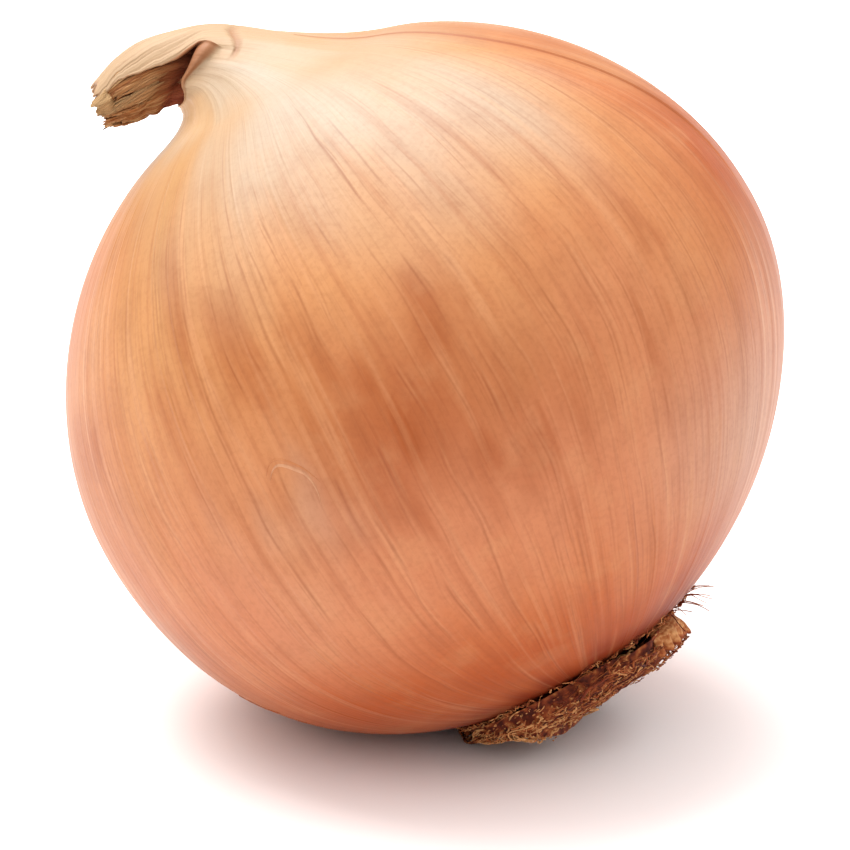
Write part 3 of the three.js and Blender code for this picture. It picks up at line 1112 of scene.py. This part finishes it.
roots = []
for root in range(ROOTS):
    share = (root + 0.5) / ROOTS
    bearing = 2 * math.pi * root * 0.381966 + root_roll.uniform(-0.3, 0.3)
    distance = ROOT_RING * lerp(0.3, 1.15, math.sqrt(share))
    lip = near_side(bearing, LIP_SIDE, 0.3, 0.45)
    distance -= 1.5 * lip * smooth(distance, 8, 12)
    shallowest = 0.5 + 1.2 * max(over_gap(bearing), lip)
    depth = lerp(3, shallowest, smooth(distance, 5, 12))
    radius = root_roll.uniform(0.06, 0.2)
    heading = bearing + root_roll.uniform(-1.2, 1.2)
    twist = root_roll.uniform(-0.9, 0.9)
    stride = root_roll.uniform(0.7, 1.6)
    spot = polar(distance, bearing, -depth)
    path = [root_room(spot, 1.25 * radius)]
    for step in range(ROOT_STEPS):
        heading += twist + root_roll.uniform(-0.5, 0.5)
        spot += polar(stride, heading, root_roll.uniform(-0.9, 0.6))
        path.append(root_room(spot, 1.25 * radius))
    tint = clamp(root_roll.uniform(0, 0.85) + 0.5 * paler(bearing))
    roots.append(bent_root(f"root_{root}", path, radius, 0.45, tint))

# %% Crumbs of root skin
CRUMBS = 1000
CRUMB_STEPS = 3

for crumb in range(CRUMBS):
    bearing = root_roll.uniform(-math.pi, math.pi)
    distance = MAT_RADIUS * math.sqrt(root_roll.uniform(0.15, 1))
    belly = MAT_DEPTH * math.sqrt(max(0, 1 - (distance / MAT_RADIUS) ** 2))
    depth = root_roll.choice((root_roll.uniform(0, 1), 1)) * (MAT_RIM + belly)
    heading = root_roll.uniform(-math.pi, math.pi)
    radius = root_roll.uniform(0.05, 0.13)
    spot = polar(distance, bearing, -depth)
    path = [root_room(spot, radius)]
    for step in range(CRUMB_STEPS):
        heading += root_roll.uniform(-1.2, 1.2)
        spot += polar(root_roll.uniform(0.25, 0.6), heading, root_roll.uniform(-0.35, 0.35))
        path.append(root_room(spot, radius))
    tint = clamp(root_roll.uniform(0.2, 1) + 0.4 * paler(bearing))
    roots.append(bent_root(f"crumb_{crumb}", path, radius, 0.6, tint))

# %% [markdown]
# ## Flakes and stray hairs
# Flakes of cork hang between the roots, short strands lie all along the mat's upper
# rim, and at the right some hairs stick out from the skin. Flakes could be bent roots
# too, but a coarse ball, flattened and battered anew for each copy, looks crumblier.

# %% Flakes between the roots
FLAKES = 1700
FLAKE_SIZES = ((0.14, 0.36), (0.06, 0.15), (0.04, 0.08))

bpy.ops.object.select_all(action="DESELECT")
bpy.ops.mesh.primitive_ico_sphere_add(subdivisions=1, radius=1)
flake_model = bpy.context.object
while flake_model.data.uv_layers:
    flake_model.data.uv_layers.remove(flake_model.data.uv_layers[0])
flake_shape = [vertex.co.copy() for vertex in flake_model.data.vertices]

for flake in range(FLAKES):
    bearing = root_roll.uniform(-math.pi, math.pi)
    on_wall = root_roll.random() < 0.45
    distance = MAT_RADIUS * (1 if on_wall else math.sqrt(root_roll.uniform(0.3, 1)))
    spot = polar(distance, bearing, root_roll.uniform(-3, 1) if on_wall else -9)
    sizes = [root_roll.uniform(*limits) for limits in FLAKE_SIZES]
    spot = root_room(spot, 0.3)
    if spot.z > -1 and over_gap(bearing) > 0.5:
        continue
    twist = Matrix.Rotation(root_roll.uniform(0, 6.3), 3, "Z") @ Matrix.Rotation(
        root_roll.uniform(0, 6.3), 3, "X"
    )
    tint = clamp(root_roll.uniform(0.1, 0.8) + 0.4 * paler(bearing))
    copy = flake_model.copy()
    copy.data = flake_model.data.copy()
    copy.name = f"flake_{flake}"
    bpy.context.collection.objects.link(copy)
    places = []
    for corner in flake_shape:
        bent = Vector(
            c * size * root_roll.uniform(0.7, 1.2) for c, size in zip(corner, sizes)
        )
        place = set_down @ (spot + twist @ bent)
        place.z = max(place.z, 0.02)
        places.extend(place * MM)
    copy.data.vertices.foreach_set("co", places)
    corners = len(flake_shape)
    write_marks(copy.data, [(10 * tint, 0, 0)] * corners, [(tint, 0, 0)] * corners)
    roots.append(copy)
print("one flake has", len(flake_model.data.polygons), "faces")
bpy.data.objects.remove(flake_model)

# %% Stray root hairs
HAIRS = 14
RIM_STRANDS = 150
HAIR_SIDE = math.radians(-14)
HAIR_STEPS = 4

for hair in range(HAIRS):
    bearing = HAIR_SIDE + root_roll.uniform(-0.3, 0.3)
    heading = bearing + root_roll.uniform(-0.9, 0.3)
    radius = root_roll.uniform(0.06, 0.1)
    rise = root_roll.uniform(-0.5, 0.1)
    spot = polar(root_roll.uniform(13.4, 15.8), bearing, 0.0)
    spot.z = underside(spot.xy.length)
    path = [spot.copy()]
    for step in range(HAIR_STEPS):
        heading += root_roll.uniform(-0.3, 0.3)
        spot += polar(root_roll.uniform(0.5, 0.8), heading, rise * (step + 1) * 0.5)
        path.append(spot.copy())
    tint = root_roll.uniform(0.2, 0.6)
    roots.append(bent_root(f"hair_{hair}", path, radius, 0.5, tint))

for strand in range(RIM_STRANDS):
    bearing = root_roll.uniform(-math.pi, math.pi)
    heading = bearing + root_roll.uniform(-1.4, 1.4)
    radius = root_roll.uniform(0.06, 0.13)
    spot = polar(root_roll.uniform(12.9, 13.9), bearing, 0)
    path = []
    for step in range(HAIR_STEPS):
        spot.z = underside(spot.xy.length) - root_roll.uniform(0.1, 0.6)
        lying = set_down @ spot
        lying.z = max(lying.z, 1.3 * radius)
        path.append(lift_up @ lying)
        heading += root_roll.uniform(-0.7, 0.7)
        spot += polar(root_roll.uniform(0.25, 0.6), heading, 0)
    tint = root_roll.uniform(0.3, 1)
    roots.append(bent_root(f"strand_{strand}", path, radius, 0.5, tint))

root_mat = joined("root_mat", roots)
bpy.data.objects.remove(root_model)
print("root mat", len(root_mat.data.polygons), "faces")

# %% [markdown]
# ## The curled lip
# At its right end the mat turns up into a pale, ringed lip of corky skin with a ragged
# edge. It could be part of the plate, but as a curved sheet with a wall of its own it
# keeps its thin edge.

# %% Curled lip of the mat
LIP_HALF_WIDTH = math.radians(21)
LIP_WALL = 0.35


def lip_rule(u, v):
    """u runs along the rim of the mat, v from its underside out and down to its edge."""
    side = 2 * u - 1
    bearing = LIP_SIDE + side * LIP_HALF_WIDTH * lerp(0.6, 1, v)
    rings = math.sin(52 * v + 5 * side)
    ridge = 0.03 * rings + 0.3 * noise.noise(Vector((3 * side, 2 * v, 5)))
    ragged = 2.2 * noise.noise(Vector((6 * side, 3, 0))) * smooth(v, 0.55, 1)
    reach = 10.6 + 2.4 * math.sin(0.62 * math.pi * v) - 0.4 * side * side
    reach += 0.3 * ragged + ridge
    depth = -0.7 + 2.2 * v**1.3 + 0.8 * smooth(v, 0.7, 1) + ridge + 0.3 * ragged
    grain = 0.8 + 0.14 * rings - 0.4 * smooth(v, 0.85, 1)
    return polar(reach, bearing, -depth), (5 * side, v, 0), (grain, v, 0)


root_lip = laid_grid("root_lip", 60, 24, lip_rule, closed=False)
wall = root_lip.modifiers.new("wall", "SOLIDIFY")
wall.thickness = LIP_WALL * MM
wall.offset = 0
apply_modifiers(root_lip)
print("lip", len(root_lip.data.polygons), "faces")

# %% [markdown]
# ## Wiring a finish
# A finish is a net of nodes. Every link could be made one by one, but sums are easier
# to read as sums, so a small class stands for a socket and turns +, - and * into Math
# nodes. The other helpers each make one kind of node and hand back its output.

# %% Wires between nodes
def node(tree, kind, **settings):
    made = tree.nodes.new(kind)
    for key, value in settings.items():
        setattr(made, key, value)
    return made


def plug(tree, value, place):
    """Sets an input to a number or a colour, or links a wire to it."""
    if isinstance(value, Wire):
        tree.links.new(value.socket, place)
    else:
        place.default_value = value


class Wire:
    """A value in a node tree. Sums with it become Math nodes."""

    def __init__(self, tree, socket):
        self.tree = tree
        self.socket = socket

    def maths(self, operation, *others):
        made = node(self.tree, "ShaderNodeMath", operation=operation)
        for place, value in zip(made.inputs, (self, *others)):
            plug(self.tree, value, place)
        return Wire(self.tree, made.outputs[0])

    def __add__(self, other):
        return self.maths("ADD", other)

    def __sub__(self, other):
        return self.maths("SUBTRACT", other)

    def __mul__(self, other):
        return self.maths("MULTIPLY", other)


# %% Vectors and noise
def attribute(tree, name):
    made = node(tree, "ShaderNodeAttribute", attribute_name=name)
    return Wire(tree, made.outputs["Vector"])


def parts_of(tree, name):
    """The three numbers of an attribute."""
    made = node(tree, "ShaderNodeSeparateXYZ")
    plug(tree, attribute(tree, name), made.inputs[0])
    return [Wire(tree, socket) for socket in made.outputs]


def combined(tree, *parts):
    """A vector from two or three numbers."""
    made = node(tree, "ShaderNodeCombineXYZ")
    for part, place in zip(parts, made.inputs):
        plug(tree, part, place)
    return Wire(tree, made.outputs[0])


def noise_at(where, scale, detail, roughness=0.5, dimensions="3D"):
    """A cloudy noise at that place, 0 to 1."""
    made = node(where.tree, "ShaderNodeTexNoise", noise_dimensions=dimensions)
    plug(where.tree, where, made.inputs["Vector"])
    for label, value in (("Scale", scale), ("Detail", detail), ("Roughness", roughness)):
        plug(where.tree, value, made.inputs[label])
    return Wire(where.tree, made.outputs[0])


def spots(tree, scale, detail=2, roughness=0.5):
    """A cloudy noise over the piece. scale is in clouds per metre."""
    where = Wire(tree, node(tree, "ShaderNodeTexCoord").outputs["Object"])
    return noise_at(where, scale, detail, roughness)


# %% Shared groups
def new_group(name, inputs, outputs):
    """A group of nodes, the wires that enter it by name, and the places they leave by."""
    group = bpy.data.node_groups.new(name, "ShaderNodeTree")
    for label, value in inputs.items():
        socket = group.interface.new_socket(
            label, in_out="INPUT", socket_type="NodeSocketFloat"
        )
        socket.default_value = value
    for label in outputs:
        group.interface.new_socket(label, in_out="OUTPUT", socket_type="NodeSocketFloat")
    inside = node(group, "NodeGroupInput")
    given = {label: Wire(group, inside.outputs[label]) for label in inputs}
    return group, given, node(group, "NodeGroupOutput").inputs


def use_group(tree, group, **values):
    """The outputs of a group in that tree, with its inputs set by name."""
    made = node(tree, "ShaderNodeGroup", node_tree=group)
    for label, value in values.items():
        made.inputs[label].default_value = value
    return [Wire(tree, socket) for socket in made.outputs]


# %% Colours
def colour(*seen):
    """A colour as red, green and blue on a screen, 0 to 255, in a shader's numbers."""
    shares = [value / 255 for value in seen]
    linear = [c / 12.92 if c <= 0.04045 else ((c + 0.055) / 1.055) ** 2.4 for c in shares]
    return (*linear, 1)


def ramp(value, stops):
    """A smooth colour ramp. Each stop is a position and a colour on a screen."""
    made = node(value.tree, "ShaderNodeValToRGB")
    made.color_ramp.interpolation = "B_SPLINE"
    elements = made.color_ramp.elements
    while len(elements) < len(stops):
        elements.new(0.5)
    for element, (position, *seen) in zip(elements, stops):
        element.position = position
        element.color = colour(*seen)
    plug(value.tree, value, made.inputs[0])
    return Wire(value.tree, made.outputs[0])


def between(value, low, high):
    """0 at low and 1 at high, with soft ends. low may be above high."""
    made = node(value.tree, "ShaderNodeMapRange", interpolation_type="SMOOTHSTEP")
    made.inputs["From Min"].default_value = low
    made.inputs["From Max"].default_value = high
    plug(value.tree, value, made.inputs["Value"])
    return Wire(value.tree, made.outputs[0])


def tinted(base, *tints):
    """The colour after each tint. A tint is its share and a colour on a screen."""
    for share, seen in tints:
        made = node(base.tree, "ShaderNodeMix", data_type="RGBA")
        for place, value in ((0, share), (6, base), (7, colour(*seen))):
            plug(base.tree, value, made.inputs[place])
        base = Wire(base.tree, made.outputs[2])
    return base


# %% Materials
def new_material(name, *pieces):
    """A material on those pieces: its tree, and the inputs of its shader."""
    material = bpy.data.materials.new(name)
    material.use_nodes = True
    for piece in pieces:
        piece.data.materials.append(material)
    return material.node_tree, material.node_tree.nodes["Principled BSDF"].inputs


def dress(shader, base, roughness, specular):
    """Sets the shader's colour and gloss."""
    plug(base.tree, base, shader["Base Color"])
    plug(base.tree, roughness, shader["Roughness"])
    shader["Specular IOR Level"].default_value = specular


def bump(shader, height, strength, distance):
    """Fine relief in the finish only. distance is its height in mm."""
    made = node(height.tree, "ShaderNodeBump")
    made.inputs["Strength"].default_value = strength
    made.inputs["Distance"].default_value = distance * MM
    plug(height.tree, height, made.inputs["Height"])
    height.tree.links.new(made.outputs[0], shader["Normal"])


# %% [markdown]
# ## Streaks that follow the fibres
# Skin and neck have colour that runs in fine streaks. A noise could be stretched along
# one axis of the piece, but then it would cross the fibres wherever they turn. This
# group stretches it along the stored run of the fibres, so the streaks close in on the
# neck and the root as real ones do, and both materials share it.

# %% Streak group
streaks, given, leaving = new_group(
    "fibre_streaks", {"Across": 20, "Along": 1.5, "Detail": 3, "Seed": 0}, ["Value"]
)
stretch = combined(streaks, given["Across"], given["Across"], given["Along"])
stretched = node(streaks, "ShaderNodeVectorMath", operation="MULTIPLY_ADD")
for value, place in zip(
    (attribute(streaks, "flow"), stretch, given["Seed"]), stretched.inputs
):
    plug(streaks, value, place)
fibre_noise = noise_at(Wire(streaks, stretched.outputs[0]), 1, given["Detail"])
plug(streaks, fibre_noise, leaving["Value"])


def streak(tree, across, along, detail, seed):
    """Streaks, with so many clouds across and along a unit of the fibres' run."""
    return use_group(
        tree, streaks, Across=across, Along=along, Detail=detail, Seed=seed
    )[0]


# %% [markdown]
# ## Lines of the veins
# Seen close up, the skin has far more veins than the ones that stand out of it: thin,
# brown, broken lines, each with a painted highlight beside it, a paler line where its ridge
# would catch the light. More geometry could carry them, but a line in the colour is
# enough. The group cuts the girth into as many cells as there are lines, puts each line
# somewhere in its cell, and breaks it up along its run.

# %% Vein group
veins, given, leaving = new_group(
    "skin_veins",
    {"Count": 40, "Width": 0.05, "Wobble": 0.003, "Seed": 0},
    ["Line", "Highlight"],
)
flow_x, flow_y, flow_z = parts_of(veins, "flow")
turns = flow_y.maths("ARCTAN2", flow_x) * (0.5 / math.pi) + 0.5
bent = (spots(veins, 45) - 0.5) * given["Wobble"]
cells = (turns + bent) * given["Count"]
cell = cells.maths("FLOOR")

chance = node(veins, "ShaderNodeTexWhiteNoise", noise_dimensions="2D")
number = cell.maths("FLOORED_MODULO", given["Count"])
plug(veins, combined(veins, number, given["Seed"]), chance.inputs["Vector"])
chances = node(veins, "ShaderNodeSeparateColor")
plug(veins, Wire(veins, chance.outputs["Color"]), chances.inputs[0])
place_chance, break_chance, depth_chance = (
    Wire(veins, socket) for socket in chances.outputs
)
distance = cells - (cell + 0.5) - (place_chance - 0.5) * 0.6
breaks_at = combined(veins, flow_z * 13, break_chance * 50 + given["Seed"])
unbroken = between(noise_at(breaks_at, 1, 2, dimensions="2D"), 0.38, 0.7)
# The line 1.6 widths aside is a painted highlight along each vein.
for label, widths_aside in (("Line", 0), ("Highlight", 1.6)):
    off = distance - given["Width"] * widths_aside
    near = off.maths("ABSOLUTE").maths("DIVIDE", given["Width"])
    line = node(veins, "ShaderNodeClamp")
    plug(veins, near * -1 + 1, line.inputs[0])
    shown = Wire(veins, line.outputs[0]) * (depth_chance * 0.7 + 0.3) * unbroken
    plug(veins, shown, leaving[label])

# %% [markdown]
# ## Finish of the skin
# Onion skin is paper-thin and satiny. Its colour runs from red-orange at the roots over
# pinkish and brownish orange to pale straw at the neck, with darker veins, fine streaks
# and cloudy patches. A photo could be projected on it, but a colour ramp along the
# fibres, broken up by noise, looks right from every side.

# %% Zones of the skin
tree, shader = new_material("onion_skin", bulb_skin, torn_films)
flow_x, flow_y, along = parts_of(tree, "flow")
clouds = spots(tree, 42, 4, 0.55)
broad = streak(tree, 9, 2.6, 3, 3)
zone = along + (clouds - 0.5) * 0.3 + (broad - 0.5) * 0.14
skin = ramp(zone, [
    (0.06, 86, 24, 7),
    (0.12, 122, 39, 12),
    (0.19, 169, 79, 28),
    (0.27, 177, 103, 58),
    (0.36, 181, 113, 76),
    (0.46, 182, 115, 76),
    (0.56, 184, 121, 76),
    (0.66, 185, 127, 79),
    (0.76, 181, 129, 82),
    (0.86, 167, 122, 75),
    (0.93, 174, 130, 84),
    (1.0, 168, 142, 112),
])

# %% Patches of the skin
brown_stain, pale_stain_and_highlight, red_stain = parts_of(tree, "stains_and_highlight")
pinkness = between(streak(tree, 2.6, 3.2, 3, 41), 0.44, 0.64) * between(along, 0.75, 0.3)
middle = between(along, 0.3, 0.45) * between(along, 0.78, 0.62)
blotting = between(streak(tree, 16, 8, 2, 29), 0.55, 0.75) * middle
# Painted light: on the side under the neck the collar is lightened, to cancel the shade
# that the neck throws on it.
collar = between(along, 0.92, 0.98) * between(along, 1.05, 1.0)
shaded_collar_side = flow_x * -0.93 + flow_y * -0.37
by_roots = between(along + broad * 0.08, 0.225, 0.165)
skin = tinted(
    skin,
    (pinkness * 0.4, (181, 113, 81)),
    (red_stain * 0.95, (160, 66, 2)),
    (brown_stain * 0.95, (140, 60, 4)),
    (blotting * 0.35, (143, 69, 24)),
    # The pale ovals are paler skin and, near the neck, a painted highlight.
    (pale_stain_and_highlight * 0.92, (168, 155, 138)),
    (collar * between(shaded_collar_side, 0.7, 0.98) * 0.7, (204, 164, 122)),
    (by_roots * 0.85, (120, 36, 10)),
)

# %% Streaks and mottles of the skin
mottling = spots(tree, 170, 3)
grain = spots(tree, 1700, 2, 0.6)
medium = streak(tree, 26, 2.8, 4, 11)
fine = streak(tree, 85, 6, 3, 23)
below_neck = between(along, 0.95, 0.72)
mottles = below_neck * 0.1 + 0.03
skin = tinted(
    skin,
    (between(medium, 0.52, 0.72) * below_neck * 0.28, (141, 67, 28)),
    (between(medium, 0.46, 0.28) * below_neck * 0.25, (201, 147, 105)),
    (between(fine, 0.5, 0.75) * (below_neck * 0.14 + 0.04), (113, 52, 22)),
    (between(mottling, 0.48, 0.68) * mottles, (128, 62, 26)),
    (between(mottling, 0.48, 0.32) * mottles, (192, 143, 99)),
)

# %% Vein lines, edges and folds of the skin
VEIN_LINES = (
    {"Count": 44, "Width": 0.05, "Wobble": 0.014, "Seed": 3},
    {"Count": 74, "Width": 0.06, "Wobble": 0.024, "Seed": 8},
    {"Count": 150, "Width": 0.1, "Wobble": 0.016, "Seed": 21},
)
LINE_STRENGTHS = (0.9, 0.7, 0.55)
LINE_RELIEF = -0.06

edge_mark, fold_lip_and_shade = parts_of(tree, "marks")[1:]
line_depth = below_neck * 0.3 + between(along, 1.02, 1.1) * 0.35 + 0.25
relief = fine * 0.3 + medium * 0.5 + grain * 0.05
for settings, strength in zip(VEIN_LINES, LINE_STRENGTHS):
    line, vein_highlight = use_group(tree, veins, **settings)
    skin = tinted(
        skin,
        # A paler line beside each vein: a painted highlight.
        (vein_highlight * (0.2 * strength), (196, 147, 105)),
        (line * line_depth * strength, (113, 48, 16)),
    )
    relief += line * LINE_RELIEF
skin = tinted(
    skin,
    (edge_mark * 0.6, (130, 58, 14)),
    (between(grain, 0.42, 0.7) * (below_neck * 0.08 + 0.04), (116, 56, 24)),
    # Fold marks up to 1 give the rolled lip its own orange-brown; above 1 they paint the
    # near-black shade under and inside the fold.
    (between(fold_lip_and_shade, 0.0, 0.9) * 0.7, (141, 79, 41)),
    (between(fold_lip_and_shade, 1.0, 1.6), (94, 33, 12)),
)
dress(shader, skin, medium * 0.2 + 0.34, 0.22)
bump(shader, relief, 0.3, 0.3)
print("the skin's material has", len(tree.nodes), "nodes")

# %% [markdown]
# ## Finish of the neck
# The neck has lost its gloss: pale straw on top, brown and fibrous underneath. One brown
# could do for all of it, but the marks stored with the grooves darken it along them, and
# the crease mark paints almost black-red shade deep in the crease by the fold.

# %% Neck material
tree, shader = new_material("dry_sheaths", neck_bundle, neck_strips)
groove_mark, crease_shade_mark, pale_mark = parts_of(tree, "marks")
fibres = streak(tree, 30, 1.2, 4, 5)
threads = streak(tree, 90, 2.5, 3, 17)
straw = ramp(fibres, [
    (0.25, 111, 52, 20), (0.42, 156, 94, 45), (0.6, 183, 132, 81), (0.8, 198, 158, 113)
])
straw = tinted(
    straw,
    (between(groove_mark, 0.45, 0.9) * 0.75, (130, 69, 28)),
    (between(threads, 0.46, 0.66) * 0.5, (120, 62, 24)),
    # Painted shade: near-black red-brown deep in the crease by the fold.
    (crease_shade_mark * 0.85, (124, 43, 12)),
    (between(pale_mark, 0.4, 1.0) * 0.7, (201, 166, 118)),
)
dress(shader, straw, 0.75, 0.3)
bump(shader, fibres + threads, 0.8, 0.4)
print("the neck's material has", len(tree.nodes), "nodes")

# %% [markdown]
# ## Finish of the roots
# Every root dried a little differently, from pale tan to dark brown. A material for
# each shade would be clumsy. Instead, the tint that was stored with each copy picks its
# place on one ramp, and the plate behind the roots is darkest.

# %% Root material
tree, shader = new_material("dry_roots", root_mat, root_lip, root_plate)
tint = parts_of(tree, "marks")[0]
tint += (spots(tree, 500, 3) - 0.5) * 0.6 + (spots(tree, 2600) - 0.5) * 0.6
dry = ramp(tint, [
    (0.0, 58, 13, 4), (0.35, 118, 43, 14), (0.7, 162, 88, 38), (0.95, 206, 152, 98)
])
dress(shader, dry, 0.8, 0.3)
bump(shader, spots(tree, 3000), 0.4, 0.1)
print("the roots' material has", len(tree.nodes), "nodes")

# %% [markdown]
# ## Replacing the CAD parts
# Each piece hides the CAD node that it stands for, and rides on the onion's one body.

# %% Pieces and nodes
for piece, cad_node, cad_slot in (
    (bulb_skin, "bulb", "skin"),
    (torn_films, "bulb", "skin"),
    (neck_bundle, "neck", "dry_neck"),
    (neck_strips, "neck", "dry_neck"),
    (root_plate, "root_tuft", "dry_roots"),
    (root_mat, "root_tuft", "dry_roots"),
    (root_lip, "root_tuft", "dry_roots"),
):
    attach(piece, "root")
    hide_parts(cad_node)
    print(piece.name, "replaces", cad_node)
